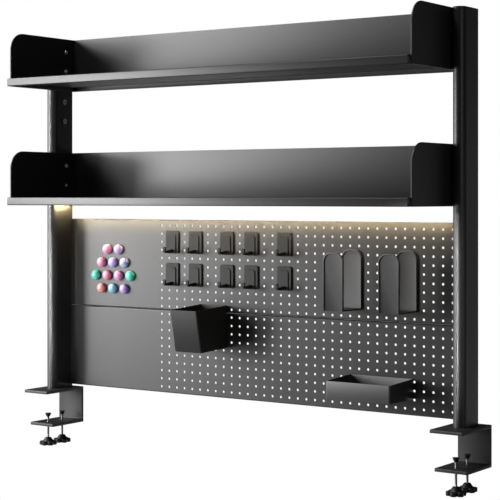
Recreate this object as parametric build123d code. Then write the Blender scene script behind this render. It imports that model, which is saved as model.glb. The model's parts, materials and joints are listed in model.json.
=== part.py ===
from build123d import *
import os
from math import cos, pi, radians, sin

# Pegboard desk shelf: two trays and a perforated board between two uprights that clamp to a desk.
# The frame is in millimetres: +X to the viewer's right, +Y away from the viewer, +Z up.
# The origin is on the desk top, at its rear edge, midway between the two clamps.
os.makedirs("parts", exist_ok=True)

# Fits
RUNNING_FIT = 0.3
SEAT_FIT = 0.05
NEAR = 0.01

# Desk clamps, each a C of one thick plate with tight corners
CLAMP_WIDTH = 78.0
CLAMP_PLATE = 7.0
CLAMP_OPENING = 78.0
CLAMP_TOP_REACH = 132.0
CLAMP_BOTTOM_REACH = 110.0
CLAMP_INNER_BEND = 1.0
CLAMP_OUTER_BEND = 2.5
CLAMP_CORNER = 2.5

# Clamp screws, two on each clamp
SCREW_DIAMETER = 6.0
SCREW_REACHES = {"front": 85.0, "rear": 32.0}
PAD_DROP = 55.0
PAD_DIAMETER = 15.0
PAD_BASE_DIAMETER = 8.0
PAD_RIM = 1.5
PAD_HEIGHT = 9.0
NECK_DIAMETER = 3.5
NECK_LENGTH = 5.0
KNOB_DROP = 32.0
KNOB_DIAMETER = 44.0
KNOB_LOBES = 6
KNOB_TURN = 35.0
KNOB_LOBE_DIAMETER = 15.0
KNOB_HEIGHT = 10.0
KNOB_EDGE = 2.0
HUB_HEIGHT = 9.0
HUB_BASE_DIAMETER = 28.0
HUB_TOP_DIAMETER = 14.0
KNOB_GRIP = 15.0

# Uprights, tubes with a half-round front
UPRIGHT_WIDTH = 30.0
UPRIGHT_DEPTH = 73.0
UPRIGHT_WALL = 2.0
UPRIGHT_SETBACK = 8.0
UPRIGHT_BACK_CORNER = 2.0
FOOT_PLATE = 6.0
CAP_PLATE = 2.0
CAP_PLUG = 10.0

# Peg hole lattice, shared by both boards and by everything pegged on them
COLUMN_PITCH = 23.7
ROW_PITCH = 20.0
COLUMNS = 35
UPPER_ROWS = 11
LOWER_ROWS = 10
PEG_HOLE = 6.0
PLAIN_WIDTH = 300.0
RIGHT_MARGIN = 28.2
OUTER_ROW_MARGIN = 15.0
UPPER_SEAM_MARGIN = 8.4
LOWER_SEAM_MARGIN = 10.0

# Boards, shallow pans with their edges folded back
BOARD_SHEET = 1.5
BOARD_FLANGE = 8.0
BOARD_EDGE = 3.0
BOARD_SEAM = 0.6
BOARD_LIFT = 7.0

# Shelves
SHELF_GAP = 36.0
SHELF_SPACING = 293.0
SHELF_REACH = 250.0
SHELF_HEIGHT = 134.0
SHELF_SHEET = 1.5
PAN_HEIGHT = 12.0
RAIL_DEPTH = 13.5
RAIL_HEIGHT = 19.0
RAIL_RETURN_GAP = 3.0
RAIL_BEND = 2.5
RAIL_END = 10.0
BACK_SHEET = 2.0
END_PLATE = 4.0
END_CORNER = 45.0
END_EDGE = 1.0

# Screws that hold the end plates, the boards and the uprights
SHELF_SCREW = 6.0
SHELF_SCREW_HEAD = 11.0
SHELF_SCREW_HEAD_HEIGHT = 3.2
SHELF_SCREW_CROWN = 2.2
SHELF_SCREW_LENGTH = 14.0
SHELF_SCREW_SOCKET = 4.0
SHELF_SCREW_SETBACK = 33.0
SHELF_SCREW_DROP = 34.0
SHELF_SCREW_SPACING = 50.0
SPARE_HOLE_DROP = 128.0
INSERT_DIAMETER = 9.0
INSERT_LENGTH = 10.0
INSERT_COLLAR = 3.0
INSERT_COLLAR_DIAMETER = 13.0
BOARD_SCREW = 3.0
BOARD_SCREW_HEAD = 4.8
BOARD_SCREW_HEAD_HEIGHT = 2.2
BOARD_SCREW_LENGTH = 8.0
BOARD_SCREW_INSET = 25.0
FOOT_BOLT = 8.0
FOOT_BOLT_HEAD = 15.0
FOOT_BOLT_SPACING = 34.0
FOOT_BOLT_LENGTH = 16.0
FOOT_BOLT_RECESS = 0.4

# Light bar under the lower shelf
LIGHT_LENGTH = 1040.0
LIGHT_WIDTH = 20.0
LIGHT_HEIGHT = 9.0
LIGHT_WALL = 1.2
LIGHT_SETBACK = 20.0
STRIP_WIDTH = 10.0
STRIP_THICKNESS = 1.6
DIFFUSER_THICKNESS = 2.0
LIGHT_CAP = 3.0
LIGHT_TONGUE = 6.0
INLET_DIAMETER = 7.6
INLET_BORE = 5.5
INLET_LENGTH = 8.0

# Pegs that every accessory hangs by
PEG_LENGTH = 7.0
PEG_TIP = 0.8

# Hooks
HOOK_COLUMNS = (1.5, 4.5, 8.5, 11.5, 15.5)
HOOK_ROWS = (2, 6)
HOOK_WIDTH = 40.0
HOOK_HEIGHT = 56.0
HOOK_PLATE = 4.0
HOOK_CORNER = 5.0
HOOK_EDGE = 1.2
HOOK_PAD_WIDTH = 25.0
HOOK_PAD_DROP = 9.5
HOOK_PAD_CORNER = 7.0
HOOK_PAD_RISE = 2.0
HOOK_ARM_WIDTH = 6.0
HOOK_ARM_REACH = 36.0
HOOK_ARM_THICKNESS = 4.5
HOOK_ARM_ROOT = 9.0
HOOK_ARM_LIFT = 1.5
HOOK_ARM_BEND = 7.0
HOOK_LIP_HEIGHT = 15.0
HOOK_LIP_ROUND = 2.0

# Holders, troughs open at both sides
HOLDER_COLUMNS = {"left": 23.5, "right": 29.5}
HOLDER_ROW = 3
HOLDER_SHIFT = -6.0
HOLDER_WIDTH = 52.0
HOLDER_DEPTH = 85.0
HOLDER_HEIGHT = 131.0
HOLDER_BACK_RISE = 5.0
HOLDER_WALL = 3.0
HOLDER_CORNER = 20.0
HOLDER_RIM = 3.0
HOLDER_RIM_RISE = 2.0
HOLDER_PEG_INSET = 12.0

# Pen cup
CUP_COLUMN = 7
CUP_ROW = 0
CUP_SHIFT = -5.5
CUP_WIDTH = 79.0
CUP_TOP_DEPTH = 123.0
CUP_BOTTOM_DEPTH = 103.0
CUP_HEIGHT = 102.0
CUP_RIM_FALL = 7.0
CUP_FOOT_FALL = 5.0
CUP_WALL = 2.5
CUP_FLOOR = 3.0
CUP_CORNER = 4.0
CUP_PEG_INSET = 29.0

# Small tray
TRAY_COLUMN = 26.5
TRAY_ROW = 7
TRAY_WIDTH = 164.0
TRAY_DEPTH = 107.0
TRAY_HEIGHT = 40.0
TRAY_BACK_RISE = 5.0
TRAY_WALL = 2.5
TRAY_FLOOR = 2.5
TRAY_CORNER = 4.0
TRAY_PEG_INSET = 22.0
TRAY_PEG_COLUMNS = 5

# Magnets, a hexagonal cluster on the plain part of the upper board
MAGNET_ROWS = (2, 3, 4, 3)
MAGNET_DIAMETER = 25.0
MAGNET_HEIGHT = 12.5
MAGNET_SKIRT = 5.0
MAGNET_PITCH = 37.5
MAGNET_ROW_STEP = 33.0
MAGNET_INSET = 145.0
MAGNET_DROP = 77.0

# Places worked out from the sizes above
INNER_WIDTH = PLAIN_WIDTH + (COLUMNS - 1) * COLUMN_PITCH + RIGHT_MARGIN
INNER_X = INNER_WIDTH / 2
UPRIGHT_X = INNER_X + UPRIGHT_WIDTH / 2
SHELF_X = INNER_X - INSERT_COLLAR
END_X = SHELF_X - END_PLATE
BACK_Y = -UPRIGHT_SETBACK
BOARD_Y = BACK_Y - BOARD_FLANGE
SHELF_BACK_Y = BACK_Y - BACK_SHEET
RAIL_Y = BACK_Y - SHELF_REACH
END_Y = RAIL_Y + RAIL_DEPTH
SCREW_Y = BACK_Y - SHELF_SCREW_SETBACK
LOWER_BOARD_Z = CLAMP_PLATE + BOARD_LIFT
LOWER_BOARD_HEIGHT = OUTER_ROW_MARGIN + (LOWER_ROWS - 1) * ROW_PITCH + LOWER_SEAM_MARGIN
UPPER_BOARD_Z = LOWER_BOARD_Z + LOWER_BOARD_HEIGHT + BOARD_SEAM
UPPER_BOARD_HEIGHT = UPPER_SEAM_MARGIN + (UPPER_ROWS - 1) * ROW_PITCH + OUTER_ROW_MARGIN
BOARD_TOP_Z = UPPER_BOARD_Z + UPPER_BOARD_HEIGHT
SHELF_Z = {"lower": BOARD_TOP_Z + SHELF_GAP, "upper": BOARD_TOP_Z + SHELF_GAP + SHELF_SPACING}
UPRIGHT_TOP_Z = SHELF_Z["upper"] + SHELF_HEIGHT - CAP_PLATE
TOP_SCREW_HEIGHT = SHELF_HEIGHT - SHELF_SCREW_DROP
SHELF_SCREW_HEIGHTS = (TOP_SCREW_HEIGHT - SHELF_SCREW_SPACING, TOP_SCREW_HEIGHT)
JAW_FLOOR_Z = -CLAMP_OPENING
CLAMP_UNDERSIDE_Z = JAW_FLOOR_Z - CLAMP_PLATE
HUB_TOP_Z = CLAMP_UNDERSIDE_Z - KNOB_DROP
SIDES = {"left": -1, "right": 1}


# Helpers


def column_x(column):
    """X of a hole column, counted from the left."""
    return -INNER_X + PLAIN_WIDTH + column * COLUMN_PITCH


def upper_row_z(row):
    """Z of a hole row of the upper board, counted from its top."""
    return BOARD_TOP_Z - OUTER_ROW_MARGIN - row * ROW_PITCH


def lower_row_z(row):
    """Z of a hole row of the lower board, counted from its top."""
    return LOWER_BOARD_Z + LOWER_BOARD_HEIGHT - LOWER_SEAM_MARGIN - row * ROW_PITCH


def rod(diameter, length):
    """A round rod that stands on the origin and points along +Z."""
    return Cylinder(diameter / 2, length, align=(Align.CENTER, Align.CENTER, Align.MIN))


def slab(width, depth, height):
    """A block centred in X, with its rear face on Y 0 and its underside on Z 0."""
    return Box(width, depth, height, align=(Align.CENTER, Align.MAX, Align.MIN))


def outwards(shape, side):
    """Turns a shape that points along +Z to point out of the frame on that side."""
    return Rot(0, 90 * side, 0) * shape


def inwards(shape, side):
    """Turns a shape that points along +Z to point into the frame from that side."""
    return Rot(0, -90 * side, 0) * shape


def forwards(shape):
    """Turns a shape that points along +Z to point at the viewer."""
    return Rot(90, 0, 0) * shape


def backwards(shape):
    """Turns a shape that points along +Z to point away from the viewer."""
    return Rot(-90, 0, 0) * shape


def round_corners(sketch, corners, radius):
    """Rounds the sketch corners that lie at these points."""
    found = [sketch.vertices().sort_by_distance((x, y, 0))[0] for x, y in corners]
    return fillet(found, radius)


def edges_at(shape, axis, place):
    """Edges of a shape whose middle lies at that place along an axis."""
    return shape.edges().filter_by_position(axis, place - NEAR, place + NEAR)


def climbing_edges(shape, rise):
    """Edges of a shape whose ends differ in Z by more than a rise."""
    return [edge for edge in shape.edges() if abs((edge @ 0).Z - (edge @ 1).Z) > rise]


def side_profile(sketch, width):
    """Extrudes a sketch drawn in Y and Z to a width in X about the middle."""
    return extrude(Plane.YZ * sketch, width / 2, both=True)


def front_profile(sketch, thickness):
    """Extrudes a sketch drawn in X and Z towards the viewer, from Y 0."""
    return extrude(Plane.XZ * sketch, thickness)


# Desk clamps


def clamp_bracket(side):
    """The C-shaped bracket, with tapped holes for its screws and countersinks for the foot bolts."""
    front_top = -CLAMP_TOP_REACH
    front_bottom = -CLAMP_BOTTOM_REACH
    low = CLAMP_UNDERSIDE_Z
    wall = CLAMP_PLATE
    outline = [(front_top, 0), (front_top, wall), (wall, wall), (wall, low), (front_bottom, low)]
    outline += [(front_bottom, JAW_FLOOR_Z), (0, JAW_FLOOR_Z), (0, 0)]
    profile = make_face(Polyline(*outline, close=True))
    profile = round_corners(profile, [(0, JAW_FLOOR_Z), (0, 0)], CLAMP_INNER_BEND)
    profile = round_corners(profile, [(wall, wall), (wall, low)], CLAMP_OUTER_BEND)
    bracket = side_profile(profile, CLAMP_WIDTH)
    for front in (front_top, front_bottom):
        corners = edges_at(bracket, Axis.Y, front).filter_by(Axis.Z)
        bracket = fillet(corners, CLAMP_CORNER)
    screw_hole = Pos(0, 0, low) * rod(SCREW_DIAMETER + 2 * RUNNING_FIT, CLAMP_PLATE)
    bracket -= [Pos(0, -reach, 0) * screw_hole for reach in SCREW_REACHES.values()]
    bolt_radius = FOOT_BOLT / 2 + SEAT_FIT
    sink_radius = FOOT_BOLT_HEAD / 2 + FOOT_BOLT_RECESS + SEAT_FIT
    sink = Cone(
        sink_radius,
        bolt_radius,
        sink_radius - bolt_radius,
        align=(Align.CENTER, Align.CENTER, Align.MIN),
    )
    bolt_hole = sink + rod(2 * bolt_radius, CLAMP_PLATE)
    bracket -= [Pos(0, y, 0) * bolt_hole for y in foot_bolt_places()]
    return Pos(side * UPRIGHT_X, 0, 0) * bracket


def foot_bolt_places():
    """Y of the two bolts that hold an upright on its clamp."""
    middle = BACK_Y - UPRIGHT_DEPTH / 2
    return (middle - FOOT_BOLT_SPACING / 2, middle + FOOT_BOLT_SPACING / 2)


def foot_bolt():
    """A countersunk bolt that points up, with its head flush in the clamp."""
    head = FOOT_BOLT_HEAD / 2
    shank = FOOT_BOLT / 2
    cone = Cone(head, shank, head - shank, align=(Align.CENTER, Align.CENTER, Align.MIN))
    return Pos(0, 0, FOOT_BOLT_RECESS) * (cone + rod(FOOT_BOLT, FOOT_BOLT_LENGTH))


# Clamp screws


def clamp_spindle():
    """The screw between knob and pad, with a neck that the pad turns on."""
    foot = HUB_TOP_Z - KNOB_GRIP
    shoulder = -PAD_DROP - PAD_HEIGHT
    shank = Pos(0, 0, foot) * rod(SCREW_DIAMETER, shoulder - foot)
    neck = Pos(0, 0, shoulder) * rod(NECK_DIAMETER, NECK_LENGTH)
    return shank + neck


def clamp_knob():
    """A lobed knob with a tapered hub, moulded round the foot of the screw."""
    ring = (KNOB_DIAMETER - KNOB_LOBE_DIAMETER) / 2
    star = Circle(ring)
    for lobe in range(KNOB_LOBES):
        angle = radians(KNOB_TURN) + 2 * pi * lobe / KNOB_LOBES
        star += Pos(ring * cos(angle), ring * sin(angle)) * Circle(KNOB_LOBE_DIAMETER / 2)
    grip = extrude(star, KNOB_HEIGHT)
    rims = edges_at(grip, Axis.Z, 0) + edges_at(grip, Axis.Z, KNOB_HEIGHT)
    grip = fillet(rims, KNOB_EDGE)
    hub = Cone(
        HUB_BASE_DIAMETER / 2,
        HUB_TOP_DIAMETER / 2,
        HUB_HEIGHT,
        align=(Align.CENTER, Align.CENTER, Align.MIN),
    )
    height = KNOB_HEIGHT + HUB_HEIGHT
    bore = Pos(0, 0, height - KNOB_GRIP) * rod(SCREW_DIAMETER + 2 * SEAT_FIT, KNOB_GRIP)
    knob = grip + Pos(0, 0, KNOB_HEIGHT) * hub - bore
    return Pos(0, 0, HUB_TOP_Z - height) * knob


def clamp_pad():
    """The flared pad that presses on the desk, with a socket for the neck of the screw."""
    flare = Cone(
        PAD_BASE_DIAMETER / 2,
        PAD_DIAMETER / 2,
        PAD_HEIGHT - PAD_RIM,
        align=(Align.CENTER, Align.CENTER, Align.MIN),
    )
    rim = Pos(0, 0, PAD_HEIGHT - PAD_RIM) * rod(PAD_DIAMETER, PAD_RIM)
    socket = rod(NECK_DIAMETER + 2 * RUNNING_FIT, NECK_LENGTH + RUNNING_FIT)
    return Pos(0, 0, -PAD_DROP - PAD_HEIGHT) * (flare + rim - socket)


# Uprights


def upright_outline():
    """Plan of an upright: flat sides and back, half-round front, rear face on Y 0."""
    flat = UPRIGHT_DEPTH - UPRIGHT_WIDTH / 2
    block = Rectangle(UPRIGHT_WIDTH, flat, align=(Align.CENTER, Align.MAX))
    half = UPRIGHT_WIDTH / 2
    block = round_corners(block, [(-half, 0), (half, 0)], UPRIGHT_BACK_CORNER)
    return block + Pos(0, -flat) * Circle(half)


def insert_heights():
    """Z of the tapped inserts: two for each shelf and a spare pair below the upper shelf."""
    heights = []
    for shelf_z in SHELF_Z.values():
        heights += [shelf_z + height for height in SHELF_SCREW_HEIGHTS]
    upper = SHELF_Z["upper"] - SPARE_HOLE_DROP
    heights += [upper + height for height in SHELF_SCREW_HEIGHTS]
    return heights


def board_screw_heights():
    """Z of the screws at each end of the two boards."""
    heights = []
    for low, height in (
        (LOWER_BOARD_Z, LOWER_BOARD_HEIGHT),
        (UPPER_BOARD_Z, UPPER_BOARD_HEIGHT),
    ):
        heights += [low + BOARD_SCREW_INSET, low + height - BOARD_SCREW_INSET]
    return heights


def upright(side):
    """A tube closed at its foot, with holes for the inserts, the board screws and the foot bolts."""
    height = UPRIGHT_TOP_Z - CLAMP_PLATE
    outline = upright_outline()
    bore = offset(outline, -UPRIGHT_WALL)
    tube = extrude(outline, height) - Pos(0, 0, FOOT_PLATE) * extrude(bore, height)
    tube = Pos(side * UPRIGHT_X, BACK_Y, CLAMP_PLATE) * tube
    insert_hole = outwards(rod(INSERT_DIAMETER + 2 * SEAT_FIT, UPRIGHT_WALL), side)
    tube -= [Pos(side * INNER_X, SCREW_Y, z) * insert_hole for z in insert_heights()]
    screw_hole = outwards(rod(BOARD_SCREW + 2 * SEAT_FIT, BOARD_SCREW_LENGTH), side)
    tube -= [Pos(side * INNER_X, board_screw_y(), z) * screw_hole for z in board_screw_heights()]
    bolt_hole = Pos(side * UPRIGHT_X, 0, CLAMP_PLATE) * rod(FOOT_BOLT + 2 * SEAT_FIT, FOOT_PLATE)
    tube -= [Pos(0, y, 0) * bolt_hole for y in foot_bolt_places()]
    return tube


def upright_cap(side):
    """A moulded cap that plugs the top of an upright."""
    plate = extrude(upright_outline(), CAP_PLATE)
    plug = extrude(offset(upright_outline(), -UPRIGHT_WALL - SEAT_FIT), -CAP_PLUG)
    return Pos(side * UPRIGHT_X, BACK_Y, UPRIGHT_TOP_Z) * (plate + plug)


def shelf_insert(side):
    """A tapped insert in an upright, with a collar that keeps the end plate off it."""
    collar = Pos(0, 0, -INSERT_COLLAR)
    insert = rod(INSERT_DIAMETER, INSERT_LENGTH) + collar * rod(INSERT_COLLAR_DIAMETER, INSERT_COLLAR)
    insert -= collar * rod(SHELF_SCREW, INSERT_COLLAR + INSERT_LENGTH)
    return outwards(insert, side)


# Screws


def shelf_screw(side):
    """A button-head screw with a hexagon socket, its head seated on an end plate."""
    head = rod(SHELF_SCREW_HEAD, SHELF_SCREW_HEAD_HEIGHT)
    crown = edges_at(head, Axis.Z, SHELF_SCREW_HEAD_HEIGHT)
    head = fillet(crown, SHELF_SCREW_CROWN)
    socket_depth = SHELF_SCREW_HEAD_HEIGHT / 2
    socket = extrude(RegularPolygon(SHELF_SCREW_SOCKET / 2, 6, major_radius=False), socket_depth)
    head -= Pos(0, 0, SHELF_SCREW_HEAD_HEIGHT - socket_depth) * socket
    shank = Pos(0, 0, -SHELF_SCREW_LENGTH) * rod(SHELF_SCREW - 2 * SEAT_FIT, SHELF_SCREW_LENGTH)
    return inwards(head + shank, side)


def board_screw_y():
    """Y of the screws in the middle of the flat part of a board's end flange."""
    return BACK_Y - (BOARD_FLANGE - BOARD_EDGE) / 2


def board_screw(side):
    """A pan-head screw through a board's end flange into an upright."""
    head = rod(BOARD_SCREW_HEAD, BOARD_SCREW_HEAD_HEIGHT)
    head = fillet(edges_at(head, Axis.Z, BOARD_SCREW_HEAD_HEIGHT), BOARD_SCREW_HEAD_HEIGHT / 2)
    shank = Pos(0, 0, -BOARD_SCREW_LENGTH) * rod(BOARD_SCREW, BOARD_SCREW_LENGTH)
    return inwards(head + shank, side)


# Boards


def board(low, height, row_heights):
    """A perforated pan: the sheet, its folded edges, the peg holes and the screw holes."""
    pan = Pos(0, BACK_Y, low) * slab(INNER_WIDTH, BOARD_FLANGE, height)
    pan = fillet(edges_at(pan, Axis.Y, BOARD_Y), BOARD_EDGE)
    hollow = slab(
        INNER_WIDTH - 2 * BOARD_SHEET,
        BOARD_FLANGE - BOARD_SHEET,
        height - 2 * BOARD_SHEET,
    )
    hollow = fillet(edges_at(hollow, Axis.Y, BOARD_SHEET - BOARD_FLANGE), BOARD_EDGE - BOARD_SHEET)
    pan -= Pos(0, BACK_Y, low + BOARD_SHEET) * hollow
    peg_hole = Pos(0, BOARD_Y, 0) * backwards(rod(PEG_HOLE, BOARD_SHEET))
    columns = [column_x(column) for column in range(COLUMNS)]
    pan -= [Pos(x, 0, z) * peg_hole for x in columns for z in row_heights]
    for side in SIDES.values():
        screw_hole = inwards(rod(BOARD_SCREW + 2 * SEAT_FIT, BOARD_SHEET), side)
        for z in (low + BOARD_SCREW_INSET, low + height - BOARD_SCREW_INSET):
            pan -= Pos(side * INNER_X, board_screw_y(), z) * screw_hole
    return pan


# Shelves


def shelf_tray(low):
    """The bent shelf sheet: a pan turned down at the back and ends, with a boxed front rail."""
    sheet = SHELF_SHEET
    rail_top = RAIL_HEIGHT - sheet
    floor = PAN_HEIGHT - sheet
    back = SHELF_BACK_Y
    hem = END_Y - RAIL_RETURN_GAP
    outline = [(back, 0), (back, PAN_HEIGHT), (END_Y, PAN_HEIGHT), (END_Y, RAIL_HEIGHT)]
    outline += [(RAIL_Y, RAIL_HEIGHT), (RAIL_Y, 0), (hem, 0), (hem, sheet), (RAIL_Y + sheet, sheet)]
    outline += [(RAIL_Y + sheet, rail_top), (END_Y - sheet, rail_top), (END_Y - sheet, floor)]
    outline += [(back - sheet, floor), (back - sheet, 0)]
    profile = make_face(Polyline(*outline, close=True))
    profile = round_corners(profile, [(RAIL_Y, RAIL_HEIGHT), (RAIL_Y, 0)], RAIL_BEND)
    inner_bends = [(RAIL_Y + sheet, sheet), (RAIL_Y + sheet, rail_top)]
    profile = round_corners(profile, inner_bends, RAIL_BEND - sheet)
    tray = side_profile(profile, 2 * END_X)
    flange = Pos(0, back, 0) * slab(sheet, back - END_Y, floor)
    rail_end = Pos(0, END_Y, 0) * slab(RAIL_END, RAIL_DEPTH, RAIL_HEIGHT)
    for side in SIDES.values():
        tray += Pos(side * (END_X - sheet / 2), 0, 0) * flange
        block = Pos(side * (SHELF_X - RAIL_END / 2), 0, 0) * rail_end
        bends = edges_at(block, Axis.Y, RAIL_Y).filter_by(Axis.X)
        block = fillet(bends, RAIL_BEND)
        corner = edges_at(block, Axis.X, side * SHELF_X).filter_by(Axis.Z).sort_by(Axis.Y)[0]
        tray += fillet(corner, RAIL_END - sheet)
    return Pos(0, 0, low) * tray


def shelf_back(low):
    """The upright sheet along the back of a shelf."""
    return Pos(0, BACK_Y, low) * slab(2 * END_X, BACK_SHEET, SHELF_HEIGHT)


def shelf_end(low, side):
    """An end plate with a large rounded front corner, drilled for the two shelf screws."""
    depth = BACK_Y - END_Y
    outline = Pos(BACK_Y, 0) * Rectangle(depth, SHELF_HEIGHT, align=(Align.MAX, Align.MIN))
    outline = round_corners(outline, [(END_Y, SHELF_HEIGHT)], END_CORNER)
    plate = side_profile(outline, END_PLATE)
    rims = edges_at(plate, Axis.X, -END_PLATE / 2) + edges_at(plate, Axis.X, END_PLATE / 2)
    plate = fillet(rims, END_EDGE)
    hole = Pos(END_PLATE / 2, SCREW_Y, 0) * inwards(rod(SHELF_SCREW + 2 * SEAT_FIT, END_PLATE), 1)
    plate -= [Pos(0, 0, height) * hole for height in SHELF_SCREW_HEIGHTS]
    return Pos(side * (SHELF_X - END_PLATE / 2), 0, low) * plate


# Light bar

LIGHT_TOP_Z = SHELF_Z["lower"] + PAN_HEIGHT - SHELF_SHEET
LIGHT_LOW_Z = LIGHT_TOP_Z - LIGHT_HEIGHT
LIGHT_REAR_Y = SHELF_BACK_Y - LIGHT_SETBACK


def light_channel():
    """The channel that holds the strip and the diffuser, open downwards."""
    channel = slab(LIGHT_LENGTH, LIGHT_WIDTH, LIGHT_HEIGHT)
    room = slab(LIGHT_LENGTH, LIGHT_WIDTH - 2 * LIGHT_WALL, LIGHT_HEIGHT - LIGHT_WALL)
    return Pos(0, LIGHT_REAR_Y, LIGHT_LOW_Z) * (channel - Pos(0, -LIGHT_WALL, 0) * room)


def light_strip():
    """The lamp strip on the web of the channel."""
    strip = slab(LIGHT_LENGTH, STRIP_WIDTH, STRIP_THICKNESS)
    rear = LIGHT_REAR_Y - (LIGHT_WIDTH - STRIP_WIDTH) / 2
    return Pos(0, rear, LIGHT_TOP_Z - LIGHT_WALL - STRIP_THICKNESS) * strip


def light_diffuser():
    """The diffuser between the channel's legs."""
    sheet = slab(LIGHT_LENGTH, LIGHT_WIDTH - 2 * LIGHT_WALL, DIFFUSER_THICKNESS)
    return Pos(0, LIGHT_REAR_Y - LIGHT_WALL, LIGHT_LOW_Z) * sheet


def light_end_cap(side):
    """An end cap with a tongue between strip and diffuser; the right one has the power inlet."""
    plate = slab(LIGHT_WIDTH, LIGHT_CAP, LIGHT_HEIGHT)
    room = LIGHT_HEIGHT - LIGHT_WALL - STRIP_THICKNESS - DIFFUSER_THICKNESS
    tongue = slab(STRIP_WIDTH, LIGHT_TONGUE, room - 2 * SEAT_FIT)
    cap = plate + Pos(0, LIGHT_TONGUE, DIFFUSER_THICKNESS + SEAT_FIT) * tongue
    if side > 0:
        boss = Pos(0, -LIGHT_CAP, LIGHT_HEIGHT / 2) * forwards(rod(INLET_DIAMETER, INLET_LENGTH))
        mouth = Pos(0, -LIGHT_CAP - INLET_LENGTH, LIGHT_HEIGHT / 2)
        cap += boss
        cap -= mouth * backwards(rod(INLET_BORE, INLET_LENGTH))
    middle_y = LIGHT_REAR_Y - LIGHT_WIDTH / 2
    return Pos(side * LIGHT_LENGTH / 2, middle_y, LIGHT_LOW_Z) * Rot(0, 0, 90 * side) * cap


# Accessories, each drawn about its upper pegs with the board face on Y 0


def pegs(spread):
    """Two round pegs that plug into the board, with eased tips."""
    peg = rod(PEG_HOLE - 2 * RUNNING_FIT, PEG_LENGTH)
    peg = backwards(chamfer(edges_at(peg, Axis.Z, PEG_LENGTH), PEG_TIP))
    return [Pos(-spread / 2, 0, 0) * peg, Pos(spread / 2, 0, 0) * peg]


def hook():
    """A rounded plate with a raised pad that runs out into a J-shaped arm."""
    plate = front_profile(RectangleRounded(HOOK_WIDTH, HOOK_HEIGHT, HOOK_CORNER), HOOK_PLATE)
    plate = fillet(edges_at(plate, Axis.Y, -HOOK_PLATE), HOOK_EDGE)
    foot = -HOOK_HEIGHT / 2
    top = HOOK_HEIGHT / 2 - HOOK_PAD_DROP
    half = HOOK_PAD_WIDTH / 2
    pad = Pos(0, foot) * Rectangle(HOOK_PAD_WIDTH, top - foot, align=(Align.CENTER, Align.MIN))
    pad = round_corners(pad, [(-half, top), (half, top)], HOOK_PAD_CORNER)
    raised = front_profile(pad, HOOK_PLATE + HOOK_PAD_RISE)
    raised = fillet(edges_at(raised, Axis.Y, -HOOK_PLATE - HOOK_PAD_RISE), HOOK_EDGE)
    thick = HOOK_ARM_THICKNESS
    root = -HOOK_PLATE
    tip = -HOOK_ARM_REACH
    low = foot + HOOK_ARM_LIFT
    lip = low + HOOK_LIP_HEIGHT
    arm_points = [(root, low + HOOK_ARM_ROOT), (tip + thick, low + thick), (tip + thick, lip)]
    arm_points += [(tip, lip), (tip, low), (root, low)]
    arm = make_face(Polyline(*arm_points, close=True))
    arm = round_corners(arm, [(tip, low)], HOOK_ARM_BEND)
    arm = round_corners(arm, [(tip + thick, low + thick)], HOOK_ARM_BEND - thick)
    arm = round_corners(arm, [(tip, lip), (tip + thick, lip)], HOOK_LIP_ROUND)
    bent = side_profile(arm, HOOK_ARM_WIDTH)
    body = plate + raised + bent
    return Pos(0, 0, -ROW_PITCH) * body + pegs(COLUMN_PITCH)


def arched_plate(height):
    """Outline of a holder's plate: flat foot on the origin, rounded top corners."""
    plate = Rectangle(HOLDER_WIDTH, height, align=(Align.CENTER, Align.MIN))
    half = HOLDER_WIDTH / 2
    return round_corners(plate, [(-half, height), (half, height)], HOLDER_CORNER)


def rimmed_plate(height):
    """A holder's plate with a raised rim round its sides and top, rear face on Y 0."""
    outline = arched_plate(height)
    inside = Rectangle(
        HOLDER_WIDTH - 2 * HOLDER_RIM,
        height - HOLDER_RIM,
        align=(Align.CENTER, Align.MIN),
    )
    half = HOLDER_WIDTH / 2 - HOLDER_RIM
    top = height - HOLDER_RIM
    inside = round_corners(inside, [(-half, top), (half, top)], HOLDER_CORNER - HOLDER_RIM)
    rim = front_profile(outline - inside, HOLDER_WALL + HOLDER_RIM_RISE)
    return front_profile(outline, HOLDER_WALL) + rim


def holder():
    """A trough of two rimmed plates on a floor, the rear plate taller than the front one."""
    low = HOLDER_PEG_INSET - HOLDER_HEIGHT - HOLDER_BACK_RISE
    rear = rimmed_plate(HOLDER_HEIGHT + HOLDER_BACK_RISE)
    front = rimmed_plate(HOLDER_HEIGHT)
    front_y = HOLDER_WALL + HOLDER_RIM_RISE - HOLDER_DEPTH
    floor = slab(HOLDER_WIDTH, HOLDER_DEPTH - HOLDER_RIM_RISE, HOLDER_WALL)
    trough = rear + Pos(0, front_y, 0) * front + floor
    return Pos(HOLDER_SHIFT, 0, low) * trough + pegs(COLUMN_PITCH)


def open_bin(outline, width, wall, floor, corner):
    """An open box from its side outline: rear foot, rear rim, front rim and front foot."""
    (rear, foot), (_, rim), (front_top, front_rim), (front, front_foot) = outline
    lean = (front_top - front) / (front_rim - front_foot)
    brim = rim + wall
    hollow = [(rear - wall, foot + floor), (rear - wall, brim)]
    hollow += [(front + wall + lean * (brim - front_foot), brim)]
    hollow += [(front + wall + lean * floor, front_foot + floor)]
    outside = side_profile(make_face(Polyline(*outline, close=True)), width)
    inside = side_profile(make_face(Polyline(*hollow, close=True)), width - 2 * wall)
    rise = (front_rim - front_foot) / 2
    outside = fillet(climbing_edges(outside, rise), corner)
    return outside - fillet(climbing_edges(inside, rise), corner - wall)


def pen_cup():
    """A cup with a leaning front, hung by two pegs; its rim and foot fall a little to the front."""
    outline = [(0, 0), (0, CUP_HEIGHT), (-CUP_TOP_DEPTH, CUP_HEIGHT - CUP_RIM_FALL)]
    outline += [(-CUP_BOTTOM_DEPTH, -CUP_FOOT_FALL)]
    cup = open_bin(outline, CUP_WIDTH, CUP_WALL, CUP_FLOOR, CUP_CORNER)
    return Pos(CUP_SHIFT, 0, CUP_PEG_INSET - CUP_HEIGHT) * cup + pegs(2 * COLUMN_PITCH)


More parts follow.
